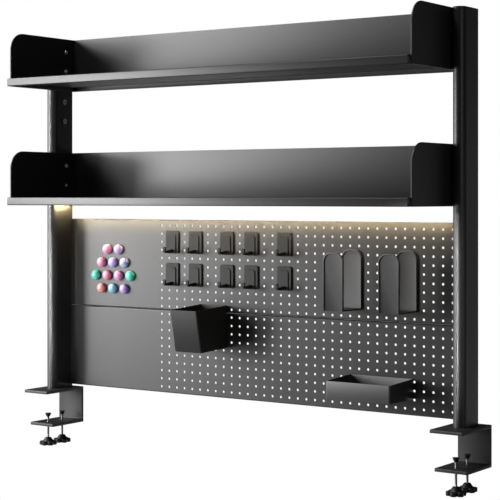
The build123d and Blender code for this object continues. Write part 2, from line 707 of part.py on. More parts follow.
def small_tray():
    """A shallow open tray, hung by two pegs on its rear wall, which is the highest."""
    outline = [(0, 0), (0, TRAY_HEIGHT + TRAY_BACK_RISE), (-TRAY_DEPTH, TRAY_HEIGHT)]
    outline += [(-TRAY_DEPTH, 0)]
    tray = open_bin(outline, TRAY_WIDTH, TRAY_WALL, TRAY_FLOOR, TRAY_CORNER)
    return Pos(0, 0, TRAY_PEG_INSET - TRAY_HEIGHT) * tray + pegs(TRAY_PEG_COLUMNS * COLUMN_PITCH)


def magnet():
    """A domed magnet with a short straight skirt, flat on the board."""
    radius = MAGNET_DIAMETER / 2
    rise = MAGNET_HEIGHT - MAGNET_SKIRT
    crown = (radius**2 + rise**2) / (2 * rise)
    ball = Pos(0, 0, MAGNET_HEIGHT - crown) * Sphere(crown)
    return forwards(rod(MAGNET_DIAMETER, MAGNET_HEIGHT) & ball)


def magnet_places():
    """X and Z of the magnets, row by row from the top."""
    middle = -INNER_X + MAGNET_INSET
    places = []
    for row, count in enumerate(MAGNET_ROWS):
        z = BOARD_TOP_Z - MAGNET_DROP - row * MAGNET_ROW_STEP
        places += [(middle + (i - (count - 1) / 2) * MAGNET_PITCH, z) for i in range(count)]
    return places


def group(solids):
    """Separate solids kept in one node."""
    return Compound([solid for shape in solids for solid in shape.solids()])


# The whole object, node by node

parts = {}
for name, side in SIDES.items():
    parts[f"{name}_clamp_bracket"] = clamp_bracket(side)
    parts[f"{name}_upright"] = upright(side)
    for place, reach in SCREW_REACHES.items():
        seat = Pos(side * UPRIGHT_X, -reach, 0)
        parts[f"{name}_{place}_clamp_spindle"] = seat * clamp_spindle()
        parts[f"{name}_{place}_clamp_knob"] = seat * clamp_knob()
        parts[f"{name}_{place}_clamp_pad"] = seat * clamp_pad()
    for shelf, low in SHELF_Z.items():
        parts[f"{shelf}_shelf_{name}_end"] = shelf_end(low, side)

for shelf, low in SHELF_Z.items():
    parts[f"{shelf}_shelf_tray"] = shelf_tray(low)
    parts[f"{shelf}_shelf_back"] = shelf_back(low)

upper_rows = [upper_row_z(row) for row in range(UPPER_ROWS)]
lower_rows = [lower_row_z(row) for row in range(LOWER_ROWS)]
parts["upper_pegboard"] = board(UPPER_BOARD_Z, UPPER_BOARD_HEIGHT, upper_rows)
parts["lower_pegboard"] = board(LOWER_BOARD_Z, LOWER_BOARD_HEIGHT, lower_rows)

sides = SIDES.values()
parts["upright_caps"] = group(upright_cap(side) for side in sides)
parts["upright_inserts"] = group(
    Pos(side * INNER_X, SCREW_Y, z) * shelf_insert(side) for side in sides for z in insert_heights()
)
parts["shelf_screws"] = group(
    Pos(side * END_X, SCREW_Y, low + height) * shelf_screw(side)
    for side in sides
    for low in SHELF_Z.values()
    for height in SHELF_SCREW_HEIGHTS
)
board_screw_x = INNER_X - BOARD_SHEET
board_screws = [
    Pos(side * board_screw_x, board_screw_y(), z) * board_screw(side)
    for side in sides
    for z in board_screw_heights()
]
foot_bolts = [
    Pos(side * UPRIGHT_X, y, 0) * foot_bolt() for side in sides for y in foot_bolt_places()
]
parts["frame_screws"] = group(board_screws + foot_bolts)

parts["light_channel"] = light_channel()
parts["light_strip"] = light_strip()
parts["light_diffuser"] = light_diffuser()
parts["light_end_caps"] = group(light_end_cap(side) for side in sides)

hook_places = [(column, row) for row in HOOK_ROWS for column in HOOK_COLUMNS]
for number, (column, row) in enumerate(hook_places, start=1):
    parts[f"hook_{number}"] = Pos(column_x(column), BOARD_Y, upper_row_z(row - 1)) * hook()
for name, column in HOLDER_COLUMNS.items():
    parts[f"{name}_holder"] = Pos(column_x(column), BOARD_Y, upper_row_z(HOLDER_ROW)) * holder()
parts["pen_cup"] = Pos(column_x(CUP_COLUMN), BOARD_Y, lower_row_z(CUP_ROW)) * pen_cup()
parts["small_tray"] = Pos(column_x(TRAY_COLUMN), BOARD_Y, lower_row_z(TRAY_ROW)) * small_tray()
for number, (x, z) in enumerate(magnet_places(), start=1):
    parts[f"magnet_{number}"] = Pos(x, BOARD_Y, z) * magnet()

for name, shape in parts.items():
    export_step(shape, f"parts/{name}.step")
print(len(parts), "nodes, inner width", round(INNER_WIDTH, 1), "height", round(UPRIGHT_TOP_Z, 1))
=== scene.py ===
"""Dresses a clamp-on pegboard desk shelf: finishes, fine meshes, lamps and the camera."""

from __future__ import annotations

import json
import logging
import math
from dataclasses import dataclass, replace
from enum import Enum

import bmesh
import bpy
from mathutils import Matrix, Vector


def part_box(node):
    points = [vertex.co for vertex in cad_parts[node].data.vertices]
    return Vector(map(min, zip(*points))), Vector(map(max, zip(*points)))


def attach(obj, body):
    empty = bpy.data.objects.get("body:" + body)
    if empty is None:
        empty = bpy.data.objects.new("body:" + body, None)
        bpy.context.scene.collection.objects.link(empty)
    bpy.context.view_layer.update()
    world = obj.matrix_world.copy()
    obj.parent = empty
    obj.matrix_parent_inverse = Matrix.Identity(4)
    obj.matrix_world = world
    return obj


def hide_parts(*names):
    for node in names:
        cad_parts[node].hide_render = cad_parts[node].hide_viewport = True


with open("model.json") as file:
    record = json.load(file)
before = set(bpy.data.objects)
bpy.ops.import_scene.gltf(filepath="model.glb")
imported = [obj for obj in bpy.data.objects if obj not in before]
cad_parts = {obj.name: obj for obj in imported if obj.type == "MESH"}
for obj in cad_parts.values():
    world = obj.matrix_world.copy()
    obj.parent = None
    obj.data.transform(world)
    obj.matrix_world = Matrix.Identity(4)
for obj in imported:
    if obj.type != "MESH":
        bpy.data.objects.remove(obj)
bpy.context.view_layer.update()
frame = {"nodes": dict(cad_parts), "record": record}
LOG = logging.getLogger("pegboard_desk_shelf")

Triple = tuple[float, float, float]
BODY_OF = {node: body for body, nodes in frame["record"]["behaviour"]["bodies"].items() for node in nodes}
SLOT_OF = {part["node"]: part["material_slot"] for part in frame["record"]["subparts"]}


class Side(Enum):
    """The two ends of the frame."""

    LEFT = "left"
    RIGHT = "right"


class Place(Enum):
    """The two screws of a clamp."""

    FRONT = "front"
    REAR = "rear"


class Level(Enum):
    """The two storeys of shelves and boards."""

    LOWER = "lower"
    UPPER = "upper"


def maths(
    tree: bpy.types.NodeTree,
    operation: str,
    first: bpy.types.NodeSocket,
    second: bpy.types.NodeSocket | float | None = None,
) -> bpy.types.NodeSocket:
    """Adds a sum of one or two values to a node tree.

    Args:
        tree: The node tree it goes in.
        operation: The kind of sum, in Blender's own word.
        first: The first value.
        second: The second value, as a socket or a constant, where the sum has one.

    Returns:
        The socket with the result.
    """
    node = tree.nodes.new("ShaderNodeMath")
    node.operation = operation
    tree.links.new(first, node.inputs[0])
    if isinstance(second, float):
        node.inputs[1].default_value = second
    elif second is not None:
        tree.links.new(second, node.inputs[1])
    return node.outputs[0]


class Graph:
    """A short way to write a material's nodes."""

    NOISE_LOW = 0.3
    NOISE_HIGH = 0.7

    def __init__(self, name: str) -> None:
        """Starts a material with only an output and a principled shader.

        Args:
            name: The material's name.
        """
        self.material = bpy.data.materials.new(name)
        self.material.use_nodes = True
        self.tree = self.material.node_tree
        self.tree.nodes.clear()
        output = self.tree.nodes.new("ShaderNodeOutputMaterial")
        self.shader = self.tree.nodes.new("ShaderNodeBsdfPrincipled")
        self.link(self.shader, "BSDF", output, "Surface")
        self.place = self.tree.nodes.new("ShaderNodeTexCoord")

    def set(self, **values: object) -> None:
        """Sets constant sockets of the principled shader.

        Args:
            values: Socket names, with underscores for spaces, and their values.
        """
        for key, value in values.items():
            socket = self.shader.inputs[key.replace("_", " ")]
            is_colour = isinstance(value, tuple) and len(value) == 3 and socket.type == "RGBA"
            socket.default_value = (*value, 1.0) if is_colour else value

    def link(self, source: bpy.types.Node, out: str, target: bpy.types.Node, into: str) -> None:
        """Links an output socket to an input socket.

        Args:
            source: The node that gives the value.
            out: Its output's name.
            target: The node that takes the value.
            into: Its input's name.
        """
        self.tree.links.new(source.outputs[out], target.inputs[into])

    def noise(self, scale: float, detail: float, stretch: Triple = (1.0, 1.0, 1.0)) -> bpy.types.Node:
        """A noise in the object's own metres.

        Args:
            scale: Features per metre.
            detail: Octaves of detail.
            stretch: Scale of each axis, for a grain with a direction.

        Returns:
            The noise node.
        """
        mapping = self.tree.nodes.new("ShaderNodeMapping")
        mapping.inputs["Scale"].default_value = stretch
        noise = self.tree.nodes.new("ShaderNodeTexNoise")
        noise.inputs["Scale"].default_value = scale
        noise.inputs["Detail"].default_value = detail
        self.link(self.place, "Object", mapping, "Vector")
        self.link(mapping, "Vector", noise, "Vector")
        return noise

    def spread(self, source: bpy.types.Node, out: str, low: float, high: float) -> bpy.types.Node:
        """Maps the usual span of a noise to a range.

        Args:
            source: The node that gives the value.
            out: Its output's name.
            low: The result for a low value.
            high: The result for a high value.

        Returns:
            The map range node.
        """
        node = self.tree.nodes.new("ShaderNodeMapRange")
        node.inputs["From Min"].default_value = self.NOISE_LOW
        node.inputs["From Max"].default_value = self.NOISE_HIGH
        node.inputs["To Min"].default_value = low
        node.inputs["To Max"].default_value = high
        self.link(source, out, node, "Value")
        return node

    def blend(self, factor: bpy.types.Node, out: str, low: Triple, high: Triple) -> bpy.types.Node:
        """Mixes two colours by a node's value.

        Args:
            factor: The node that gives the share of the second colour.
            out: Its output's name.
            low: The first colour.
            high: The second colour.

        Returns:
            The colour ramp node.
        """
        ramp = self.tree.nodes.new("ShaderNodeValToRGB")
        ramp.color_ramp.elements[0].position = self.NOISE_LOW
        ramp.color_ramp.elements[0].color = (*low, 1.0)
        ramp.color_ramp.elements[1].position = self.NOISE_HIGH
        ramp.color_ramp.elements[1].color = (*high, 1.0)
        self.link(factor, out, ramp, "Fac")
        return ramp

    def bump(self, source: bpy.types.Node, out: str, strength: float, depth: float) -> None:
        """Raises the surface by a node's value.

        Args:
            source: The node that gives the height.
            out: Its output's name.
            strength: Share of the bump that shows.
            depth: Height of the bump in metres.
        """
        node = self.tree.nodes.new("ShaderNodeBump")
        node.inputs["Strength"].default_value = strength
        node.inputs["Distance"].default_value = depth
        self.link(source, out, node, "Height")
        self.link(node, "Normal", self.shader, "Normal")


def shade(colour: Triple, factor: float) -> Triple:
    """A colour made lighter or darker.

    Args:
        colour: The colour to start from.
        factor: How many times as bright the result is.

    Returns:
        The new colour, with no channel above one.
    """
    return tuple(min(1.0, channel * factor) for channel in colour)


@dataclass(frozen=True)
class GrainedFinish:
    """A coat or a moulding with a fine grain and a faint broad mottle."""

    name: str
    colour: Triple
    roughness: float
    gloss: float
    grain_per_metre: float
    grain_depth: float
    grain_strength: float = 0.2
    grain_detail: float = 2.0
    mottle_per_metre: float = 9.0
    mottle_detail: float = 4.0
    mottle: float = 0.1
    roughness_spread: float = 0.03
    coat: float = 0.0
    coat_roughness: float = 0.06

    def material(self) -> bpy.types.Material:
        """Builds the material.

        Returns:
            The new material.
        """
        graph = Graph(self.name)
        graph.set(Specular_IOR_Level=self.gloss)
        if self.coat:
            graph.set(Coat_Weight=self.coat, Coat_Roughness=self.coat_roughness)
        mottle = graph.noise(self.mottle_per_metre, self.mottle_detail)
        low, high = shade(self.colour, 1 - self.mottle), shade(self.colour, 1 + self.mottle)
        tint = graph.blend(mottle, "Fac", low, high)
        graph.link(tint, "Color", graph.shader, "Base Color")
        grain = graph.noise(self.grain_per_metre, self.grain_detail)
        least, most = self.roughness - self.roughness_spread, self.roughness + self.roughness_spread
        rough = graph.spread(grain, "Fac", least, most)
        graph.link(rough, "Result", graph.shader, "Roughness")
        graph.bump(grain, "Fac", self.grain_strength, self.grain_depth)
        return graph.material


@dataclass(frozen=True)
class DrawnMetal:
    """A bare metal with fine lines along one direction."""

    name: str
    colour: Triple
    roughness: float
    lines_per_metre: float
    stretch: Triple
    line_depth: float = 0.00002
    line_strength: float = 0.3
    line_detail: float = 3.0
    tints: tuple[float, float] = (0.88, 1.08)
    roughness_span: tuple[float, float] = (0.06, 0.08)

    def material(self) -> bpy.types.Material:
        """Builds the material.

        Returns:
            The new material.
        """
        graph = Graph(self.name)
        graph.set(Metallic=1.0)
        lines = graph.noise(self.lines_per_metre, self.line_detail, self.stretch)
        dark, light = self.tints
        tint = graph.blend(lines, "Fac", shade(self.colour, dark), shade(self.colour, light))
        graph.link(tint, "Color", graph.shader, "Base Color")
        below, above = self.roughness_span
        rough = graph.spread(lines, "Fac", self.roughness - below, self.roughness + above)
        graph.link(rough, "Result", graph.shader, "Roughness")
        graph.bump(lines, "Fac", self.line_strength, self.line_depth)
        return graph.material


@dataclass(frozen=True)
class GlowingPlastic:
    """A milky plastic lit from behind by a row of lamps."""

    name: str
    colour: Triple
    glow: Triple
    strength: float
    lamp_pitch: float
    ripple: float = 0.2
    roughness: float = 0.5
    mottle_per_metre: float = 40.0
    mottle_detail: float = 2.0
    mottle: float = 0.04

    def material(self) -> bpy.types.Material:
        """Builds the material.

        Returns:
            The new material.
        """
        graph = Graph(self.name)
        graph.set(Roughness=self.roughness, Emission_Color=self.glow)
        mottle = graph.noise(self.mottle_per_metre, self.mottle_detail)
        tint = graph.blend(mottle, "Fac", shade(self.colour, 1 - self.mottle), self.colour)
        graph.link(tint, "Color", graph.shader, "Base Color")
        axes = graph.tree.nodes.new("ShaderNodeSeparateXYZ")
        graph.link(graph.place, "Object", axes, "Vector")
        wave = maths(graph.tree, "MULTIPLY", axes.outputs["X"], 2 * math.pi / self.lamp_pitch)
        cosine = maths(graph.tree, "COSINE", wave)
        power = graph.tree.nodes.new("ShaderNodeMapRange")
        power.inputs["From Min"].default_value = -1.0
        power.inputs["To Min"].default_value = (1 - self.ripple) * self.strength
        power.inputs["To Max"].default_value = (1 + self.ripple) * self.strength
        graph.tree.links.new(cosine, power.inputs["Value"])
        graph.link(power, "Result", graph.shader, "Emission Strength")
        return graph.material


POWDER_COAT = GrainedFinish(
    name="black_powder_coat",
    colour=(0.012, 0.012, 0.0125),
    roughness=0.42,
    gloss=0.5,
    grain_per_metre=1500.0,
    grain_depth=0.00003,
)
TUBE_COAT = GrainedFinish(
    name="black_tube_coat",
    colour=(0.012, 0.012, 0.0125),
    roughness=0.42,
    gloss=0.5,
    grain_per_metre=1500.0,
    grain_depth=0.00002,
    grain_strength=0.02,
)
CLAMP_COAT = GrainedFinish(
    name="black_clamp_coat",
    colour=(0.012, 0.012, 0.0125),
    roughness=0.52,
    gloss=0.45,
    grain_per_metre=1500.0,
    grain_depth=0.00003,
)
MOULDED_BLACK = GrainedFinish(
    name="black_moulded_plastic",
    colour=(0.008, 0.008, 0.0082),
    roughness=0.45,
    gloss=0.25,
    grain_per_metre=2400.0,
    grain_depth=0.00004,
)
MOULDED_GREY = GrainedFinish(
    name="charcoal_moulded_plastic",
    colour=(0.015, 0.015, 0.0153),
    roughness=0.5,
    gloss=0.8,
    grain_per_metre=2400.0,
    grain_depth=0.00004,
)
MOULDED_DARK = GrainedFinish(
    name="dark_moulded_plastic",
    colour=(0.009, 0.009, 0.0092),
    roughness=0.55,
    gloss=0.32,
    grain_per_metre=2400.0,
    grain_depth=0.00004,
)
PAD_RUBBER = GrainedFinish(
    name="pad_rubber",
    colour=(0.014, 0.014, 0.014),
    roughness=0.5,
    gloss=0.3,
    grain_per_metre=1800.0,
    grain_depth=0.00006,
)
ZINC = DrawnMetal(
    name="zinc_steel",
    colour=(0.8, 0.8, 0.81),
    roughness=0.34,
    lines_per_metre=900.0,
    stretch=(1.0, 1.0, 1.0),
)
SPINDLE_STEEL = DrawnMetal(
    name="dark_spindle_steel",
    colour=(0.4, 0.4, 0.41),
    roughness=0.4,
    lines_per_metre=900.0,
    stretch=(1.0, 1.0, 1.0),
)
CHANNEL = DrawnMetal(
    name="drawn_aluminium",
    colour=(0.74, 0.74, 0.75),
    roughness=0.34,
    lines_per_metre=700.0,
    stretch=(0.02, 1.0, 1.0),
)
GLOW: Triple = (1.0, 0.76, 0.4)
DIFFUSER = GlowingPlastic(
    name="milky_diffuser",
    colour=(0.92, 0.88, 0.8),
    glow=GLOW,
    strength=5.0,
    lamp_pitch=0.0167,
)
LAMP_STRIP = GrainedFinish(
    name="lamp_strip_board",
    colour=(0.9, 0.86, 0.74),
    roughness=0.4,
    gloss=0.5,
    grain_per_metre=600.0,
    grain_depth=0.00003,
)
MAGNET_SHELL = GrainedFinish(
    name="magnet_shell",
    colour=(0.5, 0.5, 0.5),
    roughness=0.32,
    gloss=0.5,
    grain_per_metre=900.0,
    grain_depth=0.00001,
    mottle=0.06,
    coat=0.3,
    coat_roughness=0.24,
)
MAGNET_COLOURS: dict[str, Triple] = {
    "magnet_pink": (0.7, 0.27, 0.44),
    "magnet_lilac": (0.42, 0.32, 0.62),
    "magnet_lavender": (0.4, 0.33, 0.66),
    "magnet_periwinkle": (0.34, 0.38, 0.68),
    "magnet_mint": (0.09, 0.58, 0.44),
    "magnet_salmon": (0.7, 0.22, 0.34),
    "magnet_orchid": (0.64, 0.25, 0.5),
    "magnet_coral": (0.68, 0.24, 0.23),
    "magnet_sky": (0.2, 0.42, 0.52),
    "magnet_violet": (0.34, 0.24, 0.6),
}


def dress(node: str, material: bpy.types.Material) -> None:
    """Gives a CAD node a material.

    Args:
        node: The node's name.
        material: The finish it gets.
    """
    mesh = frame["nodes"][node].data
    mesh.materials.clear()
    mesh.materials.append(material)
    LOG.info("%s wears %s", node, material.name)


def stand_in(node: str, mesh: bpy.types.Mesh, material: bpy.types.Material) -> bpy.types.Object:
    """Shows a finer mesh in the place of a CAD node.

    Args:
        node: The node that the mesh stands for.
        mesh: The finer mesh, in the frame's own metres.
        material: The finish it gets.

    Returns:
        The new object.
    """
    mesh.materials.clear()
    mesh.materials.append(material)
    piece = bpy.data.objects.new(f"fine_{node}", mesh)
    bpy.context.scene.collection.objects.link(piece)
    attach(piece, BODY_OF[node])
    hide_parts(node)
    LOG.info("%s stands for %s and wears %s", piece.name, node, material.name)
    return piece


def area_lamp(
    name: str,
    place: Vector,
    aim: Vector,
    size: tuple[float, float],
    watts: float,
    spread: float = 180.0,
    colour: Triple = (1.0, 1.0, 1.0),
) -> bpy.types.Object:
    """Places a rectangular lamp.

    Args:
        name: The lamp's name.
        place: Its middle.
        aim: The point it faces.
        size: Its width and height in metres.
        watts: Its power.
        spread: The angle of its beam in degrees.
        colour: The colour of its light.

    Returns:
        The lamp's object.
    """
    data = bpy.data.lights.new(name, "AREA")
    data.shape = "RECTANGLE"
    data.size, data.size_y = size
    data.energy = watts
    data.spread = math.radians(spread)
    data.color = colour
    lamp = bpy.data.objects.new(name, data)
    lamp.location = place
    lamp.rotation_euler = (aim - place).to_track_quat("-Z", "Y").to_euler()
    bpy.context.scene.collection.objects.link(lamp)
    return lamp


@dataclass(frozen=True)
class Softbox:
    """A rectangular lamp, placed by its angle to the left of the front.

    The turn and the spread of the beam are in degrees, the level, distance, size and aim in metres.
    """

    name: str
    turn: float
    level: float
    watts: float
    distance: float = 3.2
    size: tuple[float, float] = (0.65, 0.8)
    aim: Triple = (0.0, -0.1, 0.45)
    spread: float = 180.0

    def build(self) -> bpy.types.Object:
        """Places the lamp.

        Returns:
            The lamp's object.
        """
        turn = math.radians(self.turn)
        aim = Vector(self.aim)
        place = aim + self.distance * Vector((-math.sin(turn), -math.cos(turn), 0.0))
        place.z = self.level
        return area_lamp(self.name, place, aim, self.size, self.watts, self.spread)


@dataclass(frozen=True)
class Softening:
    """How the sharp edges of a CAD node are eased, in metres and radians."""

    width: float
    segments: int = 3
    weld: float = 0.00001
    flat_angle: float = math.radians(0.5)
    sharp_angle: float = math.radians(35)

    def apply(self, node: str, material: bpy.types.Material) -> bpy.types.Object:
        """Shows a copy of a node with eased edges in its place.

        Args:
            node: The node to copy.
            material: The finish of the copy.

        Returns:
            The copy.
        """
        form = bmesh.new()
        form.from_mesh(frame["nodes"][node].data)
        bmesh.ops.remove_doubles(form, verts=form.verts, dist=self.weld)
        bmesh.ops.dissolve_limit(
            form,
            angle_limit=self.flat_angle,
            verts=form.verts,
            edges=form.edges,
        )
        for face in form.faces:
            face.smooth = True
        mesh = bpy.data.meshes.new(f"fine_{node}")
        form.to_mesh(mesh)
        form.free()
        piece = stand_in(node, mesh, material)
        ease = piece.modifiers.new("eased_edges", "BEVEL")
        ease.width = self.width
        ease.segments = self.segments
        ease.limit_method = "ANGLE"
        ease.angle_limit = self.sharp_angle
        ease.harden_normals = True
        return piece


def ring_of(
    form: bmesh.types.BMesh,
    middle: Vector,
    radii: list[float],
    height: float,
) -> list[bmesh.types.BMVert]:
    """Puts a ring of points round an upright axis.

    Args:
        form: The mesh that gets the points.
        middle: A point on the axis.
        radii: The distance of each point from the axis, all the way round.
        height: The points' height.

    Returns:
        The new points.
    """
    ring = []
    for step, radius in enumerate(radii):
        angle = 2 * math.pi * step / len(radii)
        place = (middle.x + radius * math.cos(angle), middle.y + radius * math.sin(angle), height)
        ring.append(form.verts.new(place))
    return ring


def lathe(name: str, profile: list[tuple[float, float]], turn: Matrix, steps: int = 64) -> bpy.types.Mesh:
    """Turns a profile round an axis.

    Args:
        name: The mesh's name.
        profile: Radius and height of each ring, from the foot up; a radius of zero closes it.
        turn: Where the axis goes: the profile's height runs along the matrix's Z.
        steps: Points on each ring.

    Returns:
        The new mesh.
    """
    form = bmesh.new()
    rings = []
    for radius, height in profile:
        if radius == 0.0:
            rings.append([form.verts.new((0.0, 0.0, height))])
        else:
            rings.append(ring_of(form, Vector(), [radius] * steps, height))
    for below, above in zip(rings, rings[1:]):
        for step in range(steps):
            after = (step + 1) % steps
            corners = [below[step % len(below)], below[after % len(below)]]
            corners += [above[after % len(above)], above[step % len(above)]]
            form.faces.new(list(dict.fromkeys(corners)))
    for face in form.faces:
        face.smooth = True
    form.transform(turn)
    bmesh.ops.recalc_face_normals(form, faces=form.faces)
    mesh = bpy.data.meshes.new(name)
    form.to_mesh(mesh)
    form.free()
    return mesh


@dataclass
class DeskClamp:
    """A clamp: the bent bracket and its two screws with knob and pad."""

    side: Side
    easing: Softening = Softening(0.0007)
    pitch: float = 0.001
    thread_depth: float = 0.0006
    neck_length: float = 0.005
    neck_radius: float = 0.00175
    rows_per_turn: int = 6
    steps: int = 24

    def thread(self, node: str) -> bpy.types.Mesh:
        """A screw with a real helix, a plain neck at its top and eased ends.

        Args:
            node: The CAD spindle that it follows.

        Returns:
            The new mesh.
        """
        low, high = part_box(node)
        middle = (low + high) / 2
        radius = (high.x - low.x) / 2
        shoulder = high.z - self.neck_length
        rows = round((shoulder - low.z) / self.pitch * self.rows_per_turn)
        form = bmesh.new()
        rings = []
        for row in range(rows + 1):
            height = low.z + (shoulder - low.z) * row / rows
            reach = min(height - low.z, shoulder - height)
            ease = min(1.0, reach / self.pitch)
            radii = []
            for step in range(self.steps):
                phase = (height / self.pitch - step / self.steps) % 1.0
                groove = abs(2 * phase - 1)
                radii.append(radius - self.thread_depth * (1 - ease * (1 - groove)))
            rings.append(ring_of(form, middle, radii, height))
        for height in (shoulder, high.z):
            rings.append(ring_of(form, middle, [self.neck_radius] * self.steps, height))
        for below, above in zip(rings, rings[1:]):
            for step in range(self.steps):
                after = (step + 1) % self.steps
                form.faces.new((below[step], below[after], above[after], above[step]))
        form.faces.new(list(reversed(rings[0])))
        form.faces.new(rings[-1])
        mesh = bpy.data.meshes.new(f"fine_{node}")
        form.to_mesh(mesh)
        form.free()
        return mesh

    def dress(
        self,
        coat: bpy.types.Material,
        steel: bpy.types.Material,
        plastic: bpy.types.Material,
        rubber: bpy.types.Material,
    ) -> None:
        """Eases the bracket's edges, threads the screws and gives each piece its finish.

        Args:
            coat: The bracket's finish.
            steel: The screws' finish.
            plastic: The knobs' finish.
            rubber: The pads' finish.
        """
        side = self.side.value
        self.easing.apply(f"{side}_clamp_bracket", coat)
        for place in Place:
            stem = f"{side}_{place.value}_clamp"
            stand_in(f"{stem}_spindle", self.thread(f"{stem}_spindle"), steel)
            dress(f"{stem}_knob", plastic)
            dress(f"{stem}_pad", rubber)


@dataclass
class Uprights:
    """The two tubes with their caps, inserts and frame screws."""

    def dress(
        self,
        coat: bpy.types.Material,
        plastic: bpy.types.Material,
        steel: bpy.types.Material,
    ) -> None:
        """Gives each piece its finish.

        Args:
            coat: The tubes' finish.
            plastic: The caps' finish.
            steel: The finish of inserts and screws.
        """
        for side in Side:
            dress(f"{side.value}_upright", coat)
        dress("upright_caps", plastic)
        dress("upright_inserts", steel)
        dress("frame_screws", steel)
        dress("shelf_screws", steel)


@dataclass
class Shelf:
    """A shelf: the bent tray, the back sheet and two end plates."""

    level: Level
    easing: Softening = Softening(0.0005)

    def dress(self, coat: bpy.types.Material) -> None:
        """Eases the sheets' edges and gives each piece its finish.

        Args:
            coat: The finish of all sheets.
        """
        stem = f"{self.level.value}_shelf"
        self.easing.apply(f"{stem}_tray", coat)
        self.easing.apply(f"{stem}_back", coat)
        for side in Side:
            dress(f"{stem}_{side.value}_end", coat)


@dataclass
class Pegboard:
    """A perforated board, folded from one sheet."""

    level: Level

    def dress(self, coat: bpy.types.Material) -> None:
        """Gives the board its finish.

        Args:
            coat: The sheet's finish.
        """
        dress(f"{self.level.value}_pegboard", coat)


@dataclass
class LightBar:
    """The lamp under the lower shelf, and the light that it spills on the board and the left upright."""

    spill_gap: float = 0.02
    spill_rise: float = 0.012
    spill_width: float = 0.005
    spill_watts: float = 3.1
    spill_spread: float = 90.0
    spill_fall: float = 1.2
    end_gap: float = 0.03
    end_size: tuple[float, float] = (0.09, 0.004)
    end_drop: float = 0.004
    end_watts: float = 0.34

    def spill(self) -> None:
        """Lights the board's top edge all along, and the upright beside the bar's left end."""
        low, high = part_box("upper_pegboard")
        middle = (low.x + high.x) / 2
        place = Vector((middle, low.y - self.spill_gap, high.z + self.spill_rise))
        aim = place + Vector((0.0, 1.0, -self.spill_fall))
        size = (high.x - low.x - 2 * self.end_gap, self.spill_width)
        lamp = area_lamp("spill_on_board", place, aim, size, self.spill_watts, self.spill_spread, GLOW)
        lamp.visible_glossy = False
        tube_low, tube_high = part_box("left_upright")
        shelf_low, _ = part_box("lower_shelf_tray")
        depth = (tube_low.y + tube_high.y) / 2
        place = Vector((tube_high.x + self.end_gap, depth, shelf_low.z - self.end_drop))
        aim = place + Vector((-1.0, 0.0, 0.0))
        area_lamp("spill_on_upright", place, aim, self.end_size, self.end_watts, colour=GLOW)

    def dress(
        self,
        metal: bpy.types.Material,
        strip: bpy.types.Material,
        diffuser: bpy.types.Material,
        plastic: bpy.types.Material,
    ) -> None:
        """Gives each piece its finish.

        Args:
            metal: The channel's finish.
            strip: The lamp strip's finish.
            diffuser: The glowing cover's finish.
            plastic: The end caps' finish.
        """
        dress("light_channel", metal)
        dress("light_strip", strip)
        dress("light_diffuser", diffuser)
        dress("light_end_caps", plastic)
        self.spill()


@dataclass
class Accessories:
    """What hangs on the pegs: hooks, holders, the pen cup and the small tray."""

    hooks: int = 10
    easing: Softening = Softening(0.0006)

    def dress(self, pale: bpy.types.Material, dark: bpy.types.Material) -> None:
        """Eases the rims and gives each piece its finish.

        Args:
            pale: The finish of the holders and the tray.
            dark: The finish of the hooks and the cup.
        """
        for number in range(1, self.hooks + 1):
            dress(f"hook_{number}", dark)
        for side in Side:
            self.easing.apply(f"{side.value}_holder", pale)
        self.easing.apply("small_tray", pale)
        self.easing.apply("pen_cup", dark)


@dataclass
class Magnets:
    """The domed magnets on the plain part of the upper board."""

    count: int = 12
    skirt: float = 0.005
    round_steps: int = 10
    foot_ease: float = 0.0006

    def dome(self, node: str) -> bpy.types.Mesh:
        """A smooth dome with an eased foot, as wide and as high as its node.

        Args:
            node: The CAD magnet that it follows.

        Returns:
            The new mesh.
        """
        low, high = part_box(node)
        radius = (high.x - low.x) / 2
        height = high.y - low.y
        rise = height - self.skirt
        profile = [(0.0, 0.0), (radius - self.foot_ease, 0.0), (radius, self.foot_ease)]
        for step in range(self.round_steps + 1):
            angle = math.pi / 2 * step / self.round_steps
            profile.append((radius * math.cos(angle), self.skirt + rise * math.sin(angle)))
        profile[-1] = (0.0, height)
        middle = Vector(((low.x + high.x) / 2, high.y, (low.z + high.z) / 2))
        turn = Matrix.Translation(middle) @ Matrix.Rotation(math.pi / 2, 4, "X")
        return lathe(f"fine_{node}", profile, turn)

    def dress(self) -> None:
        """Shows each magnet in its own glossy colour."""
        finishes = {}
        for number in range(1, self.count + 1):
            node = f"magnet_{number}"
            slot = SLOT_OF[node]
            if slot not in finishes:
                finish = replace(MAGNET_SHELL, name=slot, colour=MAGNET_COLOURS[slot])
                finishes[slot] = finish.material()
            stand_in(node, self.dome(node), finishes[slot])


